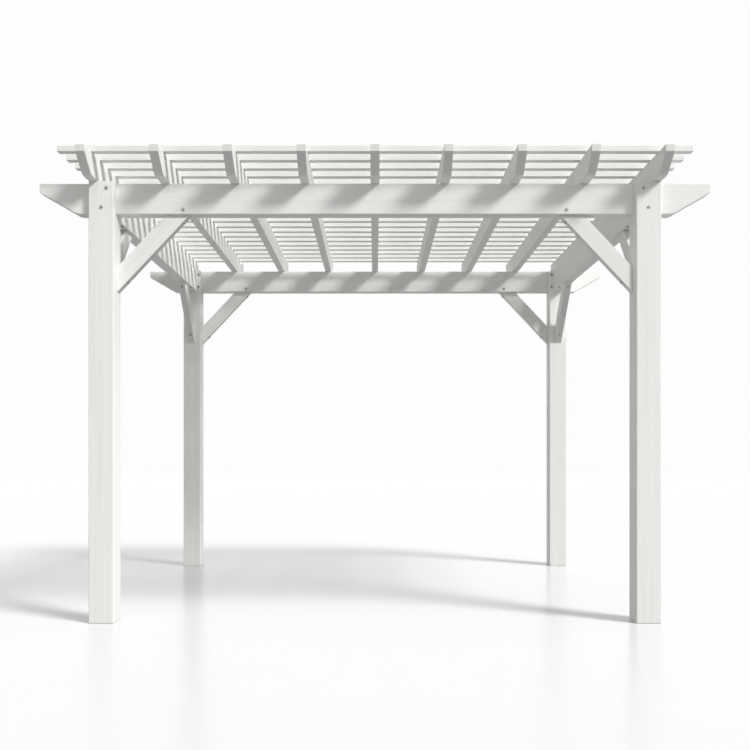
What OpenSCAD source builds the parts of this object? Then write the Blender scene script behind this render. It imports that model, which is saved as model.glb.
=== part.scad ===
// Free-standing timber pergola with an open slatted roof.
// Four notched posts carry two long beams and two side beams, nine rafters run
// from front to back on top of them, and twenty slats lie across the rafters.
// Millimetres, +Z up, +X to the right, front towards -Y. The origin is on the
// floor, under the middle of the roof's outline.

/* [Posts] */
// Width over the outer faces of the posts
frame_w = 3202; // [2400:1:4200]
// Depth from the front face of the front posts to the rear face of the back posts
frame_d = 2558; // [1900:1:3400]
// Side of each square post
post_w = 140; // [110:1:180]
// Height of the posts, which is also the level of the tops of all beams
post_h = 2473; // [2000:1:3000]

/* [Long beams] */
// Thickness of the front and back beams, which is also the depth of the post notch
beam_t = 89; // [45:1:95]
// Height of the front and back beams
beam_h = 171; // [120:1:240]
// Reach of each beam end past the outer face of its post
beam_reach = 292; // [220:1:420]
// Height of the square nose at each beam end
beam_nose = 50; // [20:1:90]
// Length of the slanted cut under each beam end
beam_slant = 211; // [100:1:215]
// Radius where the slanted cut meets the underside of a beam
beam_round = 60; // [5:1:150]

/* [Side beams] */
// Thickness of the side beams
side_t = 80; // [38:1:95]
// Height of the side beams
side_h = 171; // [120:1:240]

/* [Rafters] */
// Thickness of each rafter
rafter_t = 50; // [35:1:75]
// Height of each rafter
rafter_h = 130; // [100:1:190]
// Reach of each rafter end past the outer face of the long beam under it
rafter_reach = 270; // [170:1:420]
// Height of the square nose at each rafter end
rafter_nose = 38; // [20:1:70]
// Length of the slanted cut under each rafter end
rafter_slant = 115; // [60:1:160]
// Radius where the slanted cut meets the underside of a rafter
rafter_round = 60; // [5:1:80]

/* [Slats] */
// Width of each slat, front to back
slat_w = 48; // [25:1:70]
// Height of each slat
slat_h = 32; // [20:1:60]
// Reach of each slat end past the outer rafters
slat_reach = 139; // [40:1:260]
// From the end of a rafter to the middle of the nearest slat
slat_inset = 138; // [60:1:240]

/* [Knee braces] */
// Thickness of each knee brace
brace_t = 51; // [30:1:75]
// Width of each knee brace, square across its length
brace_w = 98; // [60:1:140]
// Reach of a brace along its beam, from the post
brace_run = 412; // [250:1:560]
// Reach of a brace down its post, from the beam
brace_drop = 438; // [250:1:560]

/* [Hidden] */
RAFTERS = 9;
SLATS = 20;
ROUND_STEPS = 6;
corner_names = ["front_left", "front_right", "back_left", "back_right"];
rafter_names = [for (i = [1:RAFTERS]) str("rafter_", i)];
slat_names = [for (i = [1:SLATS]) str("slat_", i < 10 ? "0" : "", i)];

post_color = "white";
beam_color = "whitesmoke";
brace_color = "gainsboro";
slat_color = "ivory";

// The posts keep a tongue in front of each long beam
tongue = post_w - beam_t;
post_x = (frame_w - post_w) / 2;
front_post_y = -(frame_d + tongue) / 2;
back_post_y = front_post_y + frame_d - post_w;
beam_front_y = front_post_y + tongue;
beam_back_y = back_post_y + tongue;
beam_z = post_h - beam_h;
beam_len = frame_w + 2 * beam_reach;

side_z = post_h - side_h;
side_front_y = front_post_y + post_w;
side_len = back_post_y - side_front_y;

rafter_z = post_h;
rafter_front_y = beam_front_y - rafter_reach;
rafter_len = beam_back_y + beam_t + rafter_reach - rafter_front_y;
rafter_first_x = -(frame_w - rafter_t) / 2;
rafter_pitch = (frame_w - rafter_t) / (RAFTERS - 1);

slat_z = rafter_z + rafter_h;
slat_len = frame_w + 2 * slat_reach;
slat_first_y = rafter_front_y + slat_inset;
slat_pitch = (rafter_len - 2 * slat_inset) / (SLATS - 1);

// Share of the brace's outer legs that its inner edge cuts off
brace_inner = 1 - brace_w * norm([brace_run, brace_drop]) / (brace_run * brace_drop);

// Side of the frame that a corner stands on: -1 is left or front, 1 is right or back
function side_x(corner) = corner % 2 == 0 ? -1 : 1;
function side_y(corner) = corner < 2 ? -1 : 1;
function post_y(corner) = corner < 2 ? front_post_y : back_post_y;
function beam_y(corner) = corner < 2 ? beam_front_y : beam_back_y;

// Arc where the slanted cut of the given angle runs out into the underside
function run_out(slant, angle, radius) = [
    for (k = [0:ROUND_STEPS])
        let (turn = -90 - angle * (1 - k / ROUND_STEPS))
            [slant + radius * (tan(angle / 2) + cos(turn)), radius * (1 + sin(turn))]
];

// A board seen from its side: square noses at both ends, slanted cuts under them
module tailed_outline(length, height, nose, slant, radius) {
    left_cut = run_out(slant, atan2(height - nose, slant), radius);
    polygon(concat(
        [[0, height], [0, height - nose]],
        left_cut,
        [for (k = [ROUND_STEPS:-1:0]) [length - left_cut[k].x, left_cut[k].y]],
        [[length, height - nose], [length, height]]
    ));
}

// A knee brace seen from its side, from the inner corner of post and beam at zero
module brace_outline() {
    polygon([
        [0, -brace_drop],
        [brace_run, 0],
        [brace_run * brace_inner, 0],
        [0, -brace_drop * brace_inner]
    ]);
}

// Post with the top of its rear side cut away to seat the long beam
module post(corner) {
    color(post_color)
        translate([side_x(corner) * post_x - post_w / 2, post_y(corner), 0])
            difference() {
                cube([post_w, post_w, post_h]);
                translate([-1, tongue, beam_z])
                    cube([post_w + 2, beam_t + 1, beam_h + 1]);
            }
}

module long_beam(front_y) {
    color(beam_color)
        translate([-beam_len / 2, front_y + beam_t, beam_z])
            rotate([90, 0, 0])
                linear_extrude(beam_t)
                    tailed_outline(beam_len, beam_h, beam_nose, beam_slant, beam_round);
}

// Side beam between a front post and a back post, on the posts' middle line
module side_beam(side) {
    color(beam_color)
        translate([side * post_x - side_t / 2, side_front_y, side_z])
            cube([side_t, side_len, side_h]);
}

// Brace from a post up to the long beam, under the middle of that beam
module beam_brace(corner) {
    color(brace_color)
        translate([side_x(corner) * (post_x - post_w / 2), beam_y(corner) + beam_t / 2, beam_z])
            mirror([side_x(corner) > 0 ? 1 : 0, 0, 0])
                rotate([90, 0, 0])
                    linear_extrude(brace_t, center = true)
                        brace_outline();
}

// Brace from a post up to the side beam, under the middle of that beam
module side_brace(corner) {
    face_y = corner < 2 ? side_front_y : back_post_y;
    color(brace_color)
        translate([side_x(corner) * post_x, face_y, side_z])
            mirror([0, side_y(corner) > 0 ? 1 : 0, 0])
                rotate([90, 0, 90])
                    linear_extrude(brace_t, center = true)
                        brace_outline();
}

module rafter(i) {
    color(beam_color)
        translate([rafter_first_x + i * rafter_pitch - rafter_t / 2, rafter_front_y, rafter_z])
            rotate([90, 0, 90])
                linear_extrude(rafter_t)
                    tailed_outline(rafter_len, rafter_h, rafter_nose, rafter_slant, rafter_round);
}

module slat(i) {
    color(slat_color)
        translate([-slat_len / 2, slat_first_y + i * slat_pitch - slat_w / 2, slat_z])
            cube([slat_len, slat_w, slat_h]);
}

for (c = [0:3]) {
    post(c);
    beam_brace(c);
    side_brace(c);
}
long_beam(beam_front_y);  // beam_front
long_beam(beam_back_y);  // beam_back
side_beam(-1);  // side_beam_left
side_beam(1);  // side_beam_right
for (i = [0:RAFTERS - 1]) {
    rafter(i);
}
for (i = [0:SLATS - 1]) {
    slat(i);
}
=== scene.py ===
import math

import bpy
import numpy as np
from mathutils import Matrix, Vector


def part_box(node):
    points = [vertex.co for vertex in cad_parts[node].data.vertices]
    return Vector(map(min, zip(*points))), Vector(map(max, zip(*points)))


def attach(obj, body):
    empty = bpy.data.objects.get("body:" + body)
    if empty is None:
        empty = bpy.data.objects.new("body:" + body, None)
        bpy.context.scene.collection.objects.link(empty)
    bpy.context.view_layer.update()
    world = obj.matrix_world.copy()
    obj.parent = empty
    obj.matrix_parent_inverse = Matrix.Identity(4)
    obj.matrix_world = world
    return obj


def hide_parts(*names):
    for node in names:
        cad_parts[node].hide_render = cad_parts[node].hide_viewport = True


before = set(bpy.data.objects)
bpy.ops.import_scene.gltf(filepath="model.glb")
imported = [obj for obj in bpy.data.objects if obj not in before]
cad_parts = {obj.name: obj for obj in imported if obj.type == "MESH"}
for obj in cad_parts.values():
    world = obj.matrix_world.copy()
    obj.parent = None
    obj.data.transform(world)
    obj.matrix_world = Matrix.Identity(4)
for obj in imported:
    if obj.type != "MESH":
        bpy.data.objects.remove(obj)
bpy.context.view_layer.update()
scene = bpy.context.scene
quarterTurn = math.pi / 2
corners = ("front_left", "front_right", "back_left", "back_right")
print("frame loaded:", len(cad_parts), "timbers")

camera = {
    "distance": 4.8656,     # lens to the front posts' front faces
    "height": 0.970,
    "sensor": 36,
    "lens": 41.81,
    "rise": 0.1,            # the horizon stands this share of the frame below its middle
    "farthest": 200,
}


def makeCamera():
    data = bpy.data.cameras.new("camera")
    data.sensor_width = camera["sensor"]
    data.lens = camera["lens"]
    data.shift_y = camera["rise"]
    data.clip_end = camera["farthest"]
    view = bpy.data.objects.new("camera", data)
    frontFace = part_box("post_front_left")[0].y
    view.location = (0, frontFace - camera["distance"], camera["height"])
    view.rotation_euler = (quarterTurn, 0, 0)
    scene.collection.objects.link(view)
    scene.camera = view
    scene.view_settings.view_transform = "Standard"
    print("camera set")


makeCamera()


# Fills a node's inputs: a socket is linked to its input, anything else becomes the input's own value
def setInputs(tree, node, inputs):
    for socket, value in inputs.items():
        if isinstance(value, bpy.types.NodeSocket):
            tree.links.new(value, node.inputs[socket])
        else:
            node.inputs[socket].default_value = value
    return node


def addNode(tree, kind, inputs=None):
    return setInputs(tree, tree.nodes.new("ShaderNode" + kind), inputs or {})


# value · factor + extra
def multiplyAdd(tree, value, factor, extra):
    node = tree.nodes.new("ShaderNodeMath")
    node.operation = "MULTIPLY_ADD"
    return setInputs(tree, node, {0: value, 1: factor, 2: extra}).outputs[0]


def mapRange(tree, value, source, target):
    node = addNode(tree, "MapRange", {
        "Value": value,
        "From Min": source[0],
        "From Max": source[1],
        "To Min": target[0],
        "To Max": target[1],
    })
    return node.outputs["Result"]


def mixColours(tree, share, first, second):
    node = tree.nodes.new("ShaderNodeMix")
    node.data_type = "RGBA"
    return setInputs(tree, node, {"Factor": share, "A": first, "B": second}).outputs["Result"]


studio = {
    "skyLow": 0.33,         # light on the timbers from below
    "skyHigh": 0.415,       # and from above
    "backdrop": 0.985,      # what the camera and the gloss see behind everything
    "floorSize": 60.0,
    "floorColour": (0.56, 0.56, 0.56, 1),
    "floorGlow": 0.01,
    "floorRoughness": 0.22,
    "floorWear": 0.1,       # share by which worn patches are rougher or smoother
    "wearScale": 0.7,
}
# direction towards the light, strength, softness in degrees, and the set of pieces that it lights
suns = {
    "frameSun": ((1.14, -1.08, 1.0), 2.40, 14.0, "frame"),
    "frameFill": ((1.0, 0.0, 0.25), 0.95, 30.0, "frame"),
    "frameTop": ((0.2, -0.8, 1.0), 0.55, 80.0, "frame"),
    "backBeamSun": ((1.14, -1.08, 1.0), 3.75, 12.0, "backBeam"),
    "roofSun": ((0.75, -0.56, 1.0), 3.45, 10.5, "roof"),
    "slatSun": ((0.65, -0.85, 0.8), 2.6, 14.0, "slat"),
    "braceSun": ((0.25, -1.0, 1.03), 2.38, 12.0, "brace"),
    "leftFill": ((-1.0, 0.8, 0.2), 0.18, 20.0, "all"),
    "backFill": ((0.0, 1.0, 0.3), 1.3, 6.0, "all"),
    "floorSun": ((0.72, -0.50, 1.0), 2.4, 13.5, "floor"),
    "floorSunHigh": ((0.49, -0.34, 1.0), 2.1, 13.5, "floor"),
    "floorTop": ((0.1, -0.1, 1.0), 0.5, 40.0, "floor"),
}


# A soft sky lights the timbers, a little brighter upwards; the camera and the gloss see a white backdrop
def makeSky():
    world = bpy.data.worlds.new("studioSky")
    world.use_nodes = True
    scene.world = world
    tree = world.node_tree
    tree.nodes.clear()
    white = (1, 1, 1, 1)
    direction = addNode(tree, "TexCoord").outputs["Generated"]
    upwards = addNode(tree, "SeparateXYZ", {0: direction}).outputs["Z"]
    light = mapRange(tree, upwards, (-1, 1), (studio["skyLow"], studio["skyHigh"]))
    sky = addNode(tree, "Background", {"Color": white, "Strength": light}).outputs[0]
    backdrop = addNode(tree, "Background", {"Color": white, "Strength": studio["backdrop"]}).outputs[0]
    isDiffuse = addNode(tree, "LightPath").outputs["Is Diffuse Ray"]
    mix = addNode(tree, "MixShader", {0: isDiffuse, 1: backdrop, 2: sky})
    addNode(tree, "OutputWorld", {"Surface": mix.outputs[0]})


def makeFloor():
    half = studio["floorSize"] / 2
    mesh = bpy.data.meshes.new("floor")
    points = [(-half, -half, 0), (half, -half, 0), (half, half, 0), (-half, half, 0)]
    mesh.from_pydata(points, [], [(0, 1, 2, 3)])
    floor = bpy.data.objects.new("floor", mesh)
    scene.collection.objects.link(floor)
    paint = bpy.data.materials.new("floorPaint")
    paint.use_nodes = True
    tree = paint.node_tree
    place = addNode(tree, "TexCoord").outputs["Object"]
    wear = addNode(tree, "TexNoise", {"Vector": place, "Scale": studio["wearScale"]}).outputs["Fac"]
    smooth = studio["floorRoughness"] * (1 - studio["floorWear"])
    rough = studio["floorRoughness"] * (1 + studio["floorWear"])
    setInputs(tree, tree.nodes["Principled BSDF"], {
        "Base Color": studio["floorColour"],
        "Emission Color": (1, 1, 1, 1),
        "Emission Strength": studio["floorGlow"],
        "Roughness": mapRange(tree, wear, (0, 1), (smooth, rough)),
    })
    mesh.materials.append(paint)
    floor.visible_diffuse = False   # the sky alone gives the light from below
    return floor


def makeSun(name, toLight, strength, softness, lights):
    data = bpy.data.lights.new(name, "SUN")
    data.energy = strength
    data.angle = math.radians(softness)
    lamp = bpy.data.objects.new(name, data)
    lamp.rotation_euler = Vector(toLight).to_track_quat("Z", "Y").to_euler()
    scene.collection.objects.link(lamp)
    lamp.light_linking.receiver_collection = litSets[lights]


# each sun lights one set of pieces, and every piece still casts its shadow in all of them
setNames = ("frame", "backBeam", "roof", "slat", "brace", "all", "floor")
litSets = {name: bpy.data.collections.new(name + "Set") for name in setNames}
makeSky()
litSets["floor"].objects.link(makeFloor())
for name, sun in suns.items():
    makeSun(name, *sun)
print("sky, floor and suns set:", len(suns), "suns")

offWhite = (0.86, 0.861, 0.838)
finishes = {
    "post_paint": {"tone": offWhite, "seed": 3.0},
    "beam_paint": {"tone": offWhite, "seed": 11.0},
    "brace_paint": {"tone": offWhite, "seed": 23.0},
    "rafter_paint": {"tone": offWhite, "seed": 31.0},
    "slat_paint": {"tone": (0.885, 0.886, 0.862), "seed": 47.0},
}
paintLook = {
    "streaks": (0.7, 46.0, 46.0),   # per metre along, across and through the board
    "fibres": (9.0, 420.0, 420.0),
    "patches": (1.3, 4.0, 4.0),
    "rings": (0.35, 1.0, 1.0),
    "ringTurn": (0, math.radians(1.1), math.radians(0.7)),
    "ringSpacing": 0.012,
    "waveLength": 0.314,            # of the wave texture at scale 1
    "ringDistortion": 6,
    "ringDetail": 0.4,
    "seedSteps": (1, 0.37, 0.61),   # how far a finish's seed moves its patterns, along, across and through
    "soak": 0.16,                   # what the rings add to the streaks
    "soakRange": (0.35, 0.9),
    "shadeOfStreak": 0.93,
    "specular": 0.3,
    "dragRange": (0.3, 0.7),
    "roughness": (0.48, 0.66),
    "ringRelief": 0.3,              # what the rings add to the fibres
    "bumpDepth": 0.0007,
    "bumpStrength": 0.35,
}


# White paint over planed softwood. Everything reads the board's own coordinates: along the grain, across
# it, and through the board.
def makePaint(name, finish):
    paint = bpy.data.materials.new(name)
    paint.use_nodes = True
    tree = paint.node_tree
    board = tree.nodes.new("ShaderNodeAttribute")
    board.attribute_name = "boardGrain"
    seedSpot = [finish["seed"] * step for step in paintLook["seedSteps"]]

    def stretched(scale, turn=(0, 0, 0)):
        inputs = {"Vector": board.outputs["Vector"], "Location": seedSpot, "Rotation": turn, "Scale": scale}
        return addNode(tree, "Mapping", inputs).outputs["Vector"]

    def noise(scale, detail):
        inputs = {"Vector": stretched(scale), "Scale": 1, "Detail": detail}
        return addNode(tree, "TexNoise", inputs).outputs["Fac"]

    streak = noise(paintLook["streaks"], 3)
    fibre = noise(paintLook["fibres"], 2)
    patch = noise(paintLook["patches"], 2)

    # growth rings round a pith line that runs a little askew, so they open into long arches on a board's face
    wave = addNode(tree, "TexWave", {
        "Vector": stretched(paintLook["rings"], paintLook["ringTurn"]),
        "Scale": paintLook["waveLength"] / paintLook["ringSpacing"],
        "Distortion": paintLook["ringDistortion"],
        "Detail": 2,
        "Detail Scale": paintLook["ringDetail"],
    })
    wave.wave_type = "RINGS"
    wave.rings_direction = "X"
    rings = wave.outputs["Fac"]

    # tone: paint soaks in slightly darker over the open early wood
    soak = mapRange(tree, multiplyAdd(tree, rings, paintLook["soak"], streak), paintLook["soakRange"], (0, 1))
    deep = [part * paintLook["shadeOfStreak"] for part in finish["tone"]]

    # sheen: brush drag along the board, half from its patches and half from its fibres
    drag = multiplyAdd(tree, patch, 0.5, multiplyAdd(tree, fibre, 0.5, 0))

    # relief: rings stand proud, fibres roughen them
    bump = addNode(tree, "Bump", {
        "Strength": paintLook["bumpStrength"],
        "Distance": paintLook["bumpDepth"],
        "Height": multiplyAdd(tree, rings, paintLook["ringRelief"], fibre),
    })
    setInputs(tree, tree.nodes["Principled BSDF"], {
        "Base Color": mixColours(tree, soak, (*finish["tone"], 1), (*deep, 1)),
        "Specular IOR Level": paintLook["specular"],
        "Roughness": mapRange(tree, drag, paintLook["dragRange"], paintLook["roughness"]),
        "Normal": bump.outputs["Normal"],
    })
    return paint


zincLook = {
    "dark": (0.20, 0.198, 0.19, 1),
    "light": (0.40, 0.395, 0.38, 1),
    "roughness": (0.34, 0.55),
    "spangleScale": 260,
    "toothScale": 900,
    "bumpDepth": 0.0003,
    "bumpStrength": 0.3,
}


# Dull zinc: a mottled spangle with a fine brushed tooth
def makeZinc():
    zinc = bpy.data.materials.new("dullZinc")
    zinc.use_nodes = True
    tree = zinc.node_tree
    place = addNode(tree, "TexCoord").outputs["Object"]
    spangle = addNode(tree, "TexVoronoi", {"Vector": place, "Scale": zincLook["spangleScale"]})
    tooth = addNode(tree, "TexNoise", {"Vector": place, "Scale": zincLook["toothScale"]}).outputs["Fac"]
    bump = addNode(tree, "Bump", {
        "Strength": zincLook["bumpStrength"],
        "Distance": zincLook["bumpDepth"],
        "Height": tooth,
    })
    setInputs(tree, tree.nodes["Principled BSDF"], {
        "Base Color": mixColours(tree, spangle.outputs["Color"], zincLook["dark"], zincLook["light"]),
        "Metallic": 1,
        "Roughness": mapRange(tree, tooth, (0, 1), zincLook["roughness"]),
        "Normal": bump.outputs["Normal"],
    })
    return zinc


paints = {slot: makePaint(slot.replace("_", "") + "Coat", finish) for slot, finish in finishes.items()}
dullZinc = makeZinc()
print("finishes mixed:", len(paints) + 1)

# radius of a board's long edges, and of the round at its sawn ends
planing = {
    "post_paint": {"edge": 0.005, "end": 0.005},
    "beam_paint": {"edge": 0.004, "end": 0.0024},
    "brace_paint": {"edge": 0.003},
    "rafter_paint": {"edge": 0.003, "end": 0.0018},
    "slat_paint": {"edge": 0.002, "end": 0.0012},
}
edgeSteps = 4
endSteps = 3
grainShift = (20, 0.12, 0.12)   # the most that a board's grain is moved along, across and through it
grainDraw = np.random.default_rng(2473)


# Stations along a board: near each end they lie end·(1 - sin a) in from it, and the section there is
# end·(1 - cos a) smaller all round, for a from a quarter turn down to none. Between lie the given ones.
def stationsAlong(start, stop, slot, between):
    end = planing[slot]["end"]
    a = np.linspace(quarterTurn, 0, endSteps + 1)
    tip = end * (1 - np.sin(a))
    less = end * (1 - np.cos(a))
    places = np.concatenate([start + tip, between, stop - tip[::-1]])
    shrink = np.concatenate([less, np.zeros(len(between)), less[::-1]])
    return places, shrink


# One ring of points for each station: a corner's centre lies its radius inside the section's limits, and
# its points are that centre plus the radius times (cos, sin) over the corner's quarter turn.
def sectionRings(low, high, radius):
    corner = np.repeat(np.arange(4), edgeSteps + 1)
    angle = (corner + np.tile(np.linspace(0, 1, edgeSteps + 1), 4)) * quarterTurn
    radius = radius[:, None]
    isHighAcross = (corner == 0) | (corner == 3)
    isHighThrough = corner < 2
    across = np.where(isHighAcross, high[:, :1] - radius, low[:, :1] + radius)
    through = np.where(isHighThrough, high[:, 1:] - radius, low[:, 1:] + radius)
    return across + radius * np.cos(angle), through + radius * np.sin(angle)


# Rings joined by four-sided faces, ring i to ring i + 1, with a flat cap on the first and the last
def skinFaces(ringCount, around):
    ring = np.arange(ringCount - 1)[:, None] * around
    here = np.arange(around)[None, :]
    after = (here + 1) % around
    quads = np.stack([ring + here, ring + after, ring + around + after, ring + around + here], -1)
    lastCap = (ringCount - 1) * around + np.arange(around)
    return quads.reshape(-1, 4), np.arange(around)[::-1], lastCap


# Whether a skin is the right way round: its faces' normals, each weighed with its distance from the middle,
# sum to a positive number when they point outwards.
def pointsOutward(points, quads):
    a, b, c, d = (points[quads[:, k]] for k in range(4))
    normal = np.cross(c - a, d - b)
    middle = (a + b + c + d) / 4 - points.mean(0)
    return np.einsum("ij,ij->", normal, middle) > 0


# which set a piece is lit in, by the start of its name; the first that fits counts
litBy = {
    "painted_beam_brace_front": "brace",
    "painted_beam_brace_back": "roof",
    "painted_beam_back": "backBeam",
    "painted_beam": "frame",
    "painted_post": "frame",
    "painted_slat": "slat",
    "painted": "roof",
    "": "frame",
}


def finishPiece(name, points, faces, material, replaced=()):
    mesh = bpy.data.meshes.new(name)
    mesh.from_pydata(points, [], faces)
    mesh.materials.append(material)
    mesh.shade_smooth()
    piece = bpy.data.objects.new(name, mesh)
    scene.collection.objects.link(piece)
    lights = next(lights for start, lights in litBy.items() if name.startswith(start))
    litSets[lights].objects.link(piece)
    litSets["all"].objects.link(piece)
    piece.modifiers.new("evenFaces", "WEIGHTED_NORMAL")
    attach(piece, "root")
    if replaced:
        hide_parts(*replaced)
    return piece


# points and grain hold one row for each ring of the board: places in the frame, and in the board itself
def makeTimber(node, points, grain, slot):
    ringCount, around = points.shape[:2]
    points = points.reshape(-1, 3)
    quads, firstCap, lastCap = skinFaces(ringCount, around)
    faces = quads.tolist() + [firstCap.tolist(), lastCap.tolist()]
    if not pointsOutward(points, quads):
        faces = [face[::-1] for face in faces]
    piece = finishPiece("painted_" + node, points, faces, paints[slot], [node])
    shift = grainDraw.uniform(-1, 1, 3) * grainShift
    spot = (grain.reshape(-1, 3) + shift).astype(np.float32)
    piece.data.attributes.new("boardGrain", "FLOAT_VECTOR", "POINT").data.foreach_set("vector", spot.ravel())


# A straight board: axes says which of X, Y and Z run along, across and through it. low and high give the
# section's limits at every station, each as (across, through).
def makeBoard(node, axes, places, shrink, low, high, slot):
    low = low + shrink[:, None]
    high = high - shrink[:, None]
    across, through = sectionRings(low, high, planing[slot]["edge"] - shrink)
    along = np.broadcast_to(places[:, None], across.shape)
    grain = np.stack([along, across, through], -1)
    points = np.empty_like(grain)
    points[..., list(axes)] = grain
    makeTimber(node, points, grain - grain.mean((0, 1)), slot)


def boardLimits(node, axes, count):
    low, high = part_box(node)
    across, through = axes[1:]
    lows = np.tile([low[across], low[through]], (count, 1))
    highs = np.tile([high[across], high[through]], (count, 1))
    return lows, highs


postSteps = 6
stepBack = 0.0004       # height over which a post steps back at its shelf


# Above the shelf that carries the long beam, a post goes on as a tongue in front of the beam
def makePost(row, side):
    node = "post_" + row + "_" + side
    low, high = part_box(node)
    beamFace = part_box("beam_" + row)[0]
    shelf = beamFace.z
    shaft = np.linspace(low.z, shelf, postSteps + 1)[1:-1]
    between = np.concatenate([shaft, [shelf - stepBack, shelf]])
    places, shrink = stationsAlong(low.z, high.z, "post_paint", between)
    axes = (2, 0, 1)
    lows, highs = boardLimits(node, axes, len(places))
    highs[places >= shelf, 1] = beamFace.y
    makeBoard(node, axes, places, shrink, lows, highs, "post_paint")


for row in ("front", "back"):
    for side in ("left", "right"):
        makePost(row, side)
print("posts made: 4")

beamTail = {"nose": 0.050, "slant": 0.211, "round": 0.060}
rafterTail = {"nose": 0.038, "slant": 0.115, "round": 0.060}
tailRings = {
    "slant": 0.35,          # one ring stands this share of the way down the slant
    "round": 12,
    "middle": 4,
}


# The circle between a tail's slant and the board's underside touches both. It leaves the slant at the first
# of these distances from the board's end, and meets the underside at the second.
def tailRound(height, tail):
    pitch = math.atan2(height - tail["nose"], tail["slant"])
    touch = tail["round"] * math.tan(pitch / 2)
    return tail["slant"] - touch * math.cos(pitch), tail["slant"] + touch


# Depth of a tail under the board's top, by distance from its end: the nose, then a straight slant down to
# the full height, and between them the circle, at height - round + √(round² - reach²).
def tailDepth(distance, height, tail):
    leaves, meets = tailRound(height, tail)
    slanted = tail["nose"] + (height - tail["nose"]) * distance / tail["slant"]
    reach = np.clip(distance - meets, leaves - meets, 0)
    rounded = height - tail["round"] + np.sqrt(tail["round"] ** 2 - reach ** 2)
    return np.where(distance < leaves, slanted, rounded)


def makeTailedBoard(node, axes, tail, slot):
    low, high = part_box(node)
    start, stop = low[axes[0]], high[axes[0]]
    height = high.z - low.z
    bend = np.linspace(*tailRound(height, tail), tailRings["round"])
    cut = np.concatenate([[tail["slant"] * tailRings["slant"]], bend])
    middle = np.linspace(start + cut[-1], stop - cut[-1], tailRings["middle"] + 2)[1:-1]
    places, shrink = stationsAlong(start, stop, slot, np.concatenate([start + cut, middle, stop - cut[::-1]]))
    lows, highs = boardLimits(node, axes, len(places))
    lows[:, 1] = high.z - tailDepth(np.minimum(places - start, stop - places), height, tail)
    makeBoard(node, axes, places, shrink, lows, highs, slot)


for node in ("beam_front", "beam_back"):
    makeTailedBoard(node, (0, 1, 2), beamTail, "beam_paint")
rafters = sorted(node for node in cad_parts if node.startswith("rafter_"))
for node in rafters:
    makeTailedBoard(node, (1, 0, 2), rafterTail, "rafter_paint")
print("long beams and rafters made:", 2 + len(rafters))

plainSteps = 7


def makePlainBoard(node, axes, slot):
    low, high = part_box(node)
    start, stop = low[axes[0]], high[axes[0]]
    places, shrink = stationsAlong(start, stop, slot, np.linspace(start, stop, plainSteps + 1)[1:-1])
    lows, highs = boardLimits(node, axes, len(places))
    makeBoard(node, axes, places, shrink, lows, highs, slot)


for side in ("left", "right"):
    makePlainBoard("side_beam_" + side, (1, 0, 2), "beam_paint")
slats = sorted(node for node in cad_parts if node.startswith("slat_"))
for node in slats:
    makePlainBoard(node, (0, 1, 2), "slat_paint")
print("side beams and slats made:", 2 + len(slats))

brace = {
    "width": 0.098,
    "rings": 8,
    "endStrip": 0.004,      # share of the length taken by a last narrow strip, which keeps the shading even
}


# Where a brace lies: the corner between post and beam, the level direction away from the post, the level
# direction across it, its reach along the beam and down the post, and its thickness.
def bracePlace(node, levelAxis, post):
    low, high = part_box(node)
    postLow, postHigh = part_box(post)
    isAfterPost = low[levelAxis] + high[levelAxis] > postLow[levelAxis] + postHigh[levelAxis]
    acrossAxis = 1 - levelAxis
    inner = np.zeros(3)
    inner[levelAxis] = low[levelAxis] if isAfterPost else high[levelAxis]
    inner[acrossAxis] = (low[acrossAxis] + high[acrossAxis]) / 2
    inner[2] = high.z
    level, sideways = np.zeros(3), np.zeros(3)
    level[levelAxis] = 1 if isAfterPost else -1
    sideways[acrossAxis] = 1
    run = high[levelAxis] - low[levelAxis]
    return inner, level, sideways, run, high.z - low.z, high[acrossAxis] - low[acrossAxis]


# A brace's lines run from the post to the beam. The line at distance q from the corner starts q/d of the
# drop down the post and ends q/d of the run along the beam, where d is the outermost line's distance.
def makeBrace(node, levelAxis, post):
    inner, level, sideways, run, drop, thickness = bracePlace(node, levelAxis, post)
    outer = run * drop / math.hypot(run, drop)
    share = np.linspace(0, 1, brace["rings"])
    share = np.sort(np.concatenate([share, [brace["endStrip"], 1 - brace["endStrip"]]]))
    low = np.tile([-thickness / 2, outer - brace["width"]], (len(share), 1))
    high = np.tile([thickness / 2, outer], (len(share), 1))
    across, q = sectionRings(low, high, np.full(len(share), planing["brace_paint"]["edge"]))
    share = share[:, None]
    points = (inner + sideways * across[..., None] + level * (run * q / outer * share)[..., None]
              - np.array([0, 0, 1]) * (drop * q / outer * (1 - share))[..., None])
    along = share * math.hypot(run, drop) * np.ones_like(q)
    makeTimber(node, points, np.stack([along, across, q - outer + brace["width"] / 2], -1), "brace_paint")


for corner in corners:
    makeBrace("beam_brace_" + corner, 0, "post_" + corner)
    makeBrace("side_brace_" + corner, 1, "post_" + corner)
print("knee braces made:", 2 * len(corners))

bolt = {
    "washer": 0.0098,       # radius
    "washerHeight": 0.0016,
    "washerBevel": 0.0004,
    "sunk": 0.0004,         # how far the washer presses into the paint
    "footShare": 0.97,      # of the washer's radius, there
    "footTop": 0.0002,      # height at which it has its full radius
    "flats": 0.0068,        # half the width across the flats of the head
    "headHeight": 0.0052,
    "headRoot": (0.0003, 0.0001),   # the fillet round the head's foot: out and up
    "chamfer": ((0, 0.0020), (0.0004, 0.0013), (0.0009, 0.0006)),   # taken off the points, below the top
    "crown": ((0.97, 0.0001), (0.90, 0)),   # share of the flats, below the top
    "around": 36,
}


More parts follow.
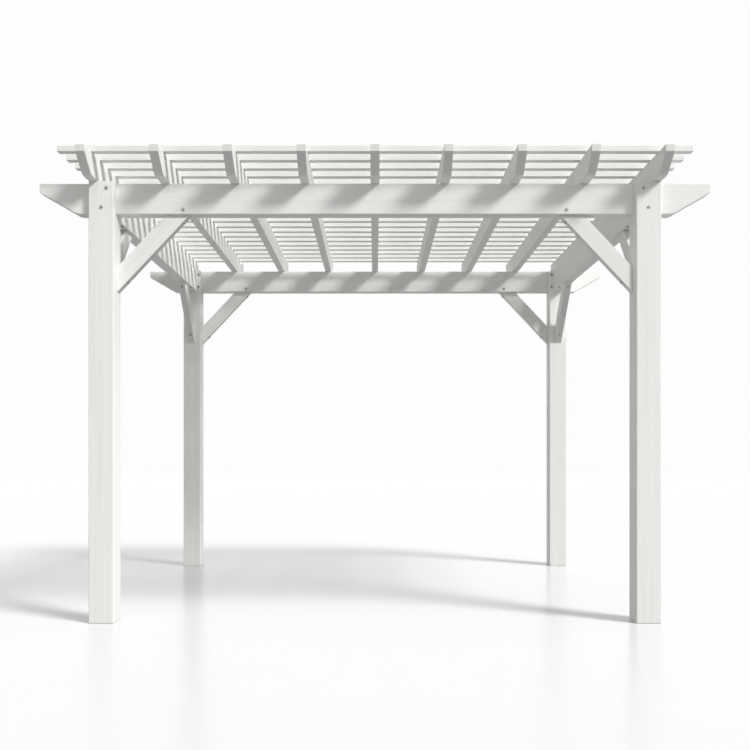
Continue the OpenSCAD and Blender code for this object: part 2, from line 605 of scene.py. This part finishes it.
# One bolt head on its washer as rings round its axis. The head's radius by angle f is the flats' half
# width over the cosine of f's distance from the middle of a flat, and never more than the chamfer allows.
def boltRings():
    f = np.arange(bolt["around"]) * 2 * math.pi / bolt["around"]
    fromFlat = (f + math.pi / 6) % (math.pi / 3) - math.pi / 6
    hexagon = bolt["flats"] / np.cos(fromFlat)
    point = bolt["flats"] / math.cos(math.pi / 6)
    washer, thick, tall = bolt["washer"], bolt["washerHeight"], bolt["washerHeight"] + bolt["headHeight"]
    rootOut, rootUp = bolt["headRoot"]
    rim = np.ones_like(f)
    rings = [
        (rim * washer * bolt["footShare"], -bolt["sunk"]),
        (rim * washer, bolt["footTop"]),
        (rim * washer, thick - bolt["washerBevel"]),
        (rim * (washer - bolt["washerBevel"]), thick),
        (rim * (point + rootOut), thick),
        (hexagon, thick + rootUp),
    ]
    rings += [(np.minimum(hexagon, point - off), tall - below) for off, below in bolt["chamfer"]]
    rings += [(rim * bolt["flats"] * share, tall - below) for share, below in bolt["crown"]]
    radius = np.array([r for r, _ in rings])
    height = np.array([h for _, h in rings])[:, None] * np.ones_like(radius)
    return np.stack([radius * np.cos(f), radius * np.sin(f), height], -1)


# A set of bolts as one piece: the same rings, turned so that their axis is each bolt's own, and spun round it
def makeBolts(name, places, axes):
    rings = boltRings()
    axes = np.array(axes, float)
    axes /= np.linalg.norm(axes, axis=1)[:, None]
    isUpright = np.abs(axes[:, 2:]) > 0.9
    first = np.cross(np.where(isUpright, [[1.0, 0, 0]], [[0, 0, 1.0]]), axes)
    first /= np.linalg.norm(first, axis=1)[:, None]
    second = np.cross(axes, first)
    spin = grainDraw.uniform(0, math.pi / 3, len(axes))[:, None]
    u = first * np.cos(spin) + second * np.sin(spin)
    v = second * np.cos(spin) - first * np.sin(spin)
    basis = np.stack([u, v, axes], 1)
    points = np.einsum("rak,bkc->brac", rings, basis) + np.array(places)[:, None, None, :]
    quads, firstCap, lastCap = skinFaces(len(rings), bolt["around"])
    step = rings.shape[0] * rings.shape[1]
    faces = []
    for k in range(len(axes)):
        faces += (quads + k * step).tolist() + [(firstCap + k * step).tolist(), (lastCap + k * step).tolist()]
    finishPiece(name, points.reshape(-1, 3), faces, dullZinc)


# away from the post's middle, and under its top
postBolts = {
    "front": ((-0.030, 0.038), (-0.001, 0.145)),
    "back": ((-0.054, 0.038), (-0.054, 0.138)),
}
beamBolts = {"front": (0.379, 0.026), "back": (0.375, 0.026)}      # from the post, above the beam's underside
braceBolts = (0.14, 0.915)      # places along a brace's underside, as shares of its length
sideBeamBolts = {"inside": 0.012, "fromPost": 0.178}


def makePostBolts(row):
    places = []
    for side in ("left", "right"):
        low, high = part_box("post_" + row + "_" + side)
        middle = (low.x + high.x) / 2
        outward = math.copysign(1, middle)
        for offset, under in postBolts[row]:
            places.append((middle + outward * offset, low.y, high.z - under))
    makeBolts(row + "PostBolts", places, [(0, -1, 0)] * len(places))


def makeBeamBolts(row):
    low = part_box("beam_" + row)[0]
    fromPost, above = beamBolts[row]
    places = []
    for side in ("left", "right"):
        postLow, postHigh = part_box("post_" + row + "_" + side)
        face = postHigh.x if side == "left" else postLow.x
        places.append((face + math.copysign(fromPost, -face), low.y, low.z + above))
    makeBolts(row + "BeamBolts", places, [(0, -1, 0)] * len(places))


# Bolts on the lower edge of every brace, square to it
def makeBraceBolts():
    places, axes = [], []
    down = np.array([0, 0, -1.0])
    for kind, levelAxis in (("beam", 0), ("side", 1)):
        for corner in corners:
            inner, level, _, run, drop, _ = bracePlace(kind + "_brace_" + corner, levelAxis, "post_" + corner)
            for share in braceBolts:
                places.append(inner + level * run * share + down * drop * (1 - share))
                axes.append(level * drop + down * run)
    makeBolts("braceBolts", places, axes)


def makeSideBeamBolts():
    places = []
    for side in ("left", "right"):
        low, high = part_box("side_beam_" + side)
        innerFace = high.x if side == "left" else low.x
        x = innerFace + math.copysign(sideBeamBolts["inside"], innerFace)
        for y in (low.y + sideBeamBolts["fromPost"], high.y - sideBeamBolts["fromPost"]):
            places.append((x, y, low.z))
    makeBolts("sideBeamBolts", places, [(0, 0, -1)] * len(places))


for row in ("front", "back"):
    makePostBolts(row)
    makeBeamBolts(row)
makeBraceBolts()
makeSideBeamBolts()
print("bolts made")
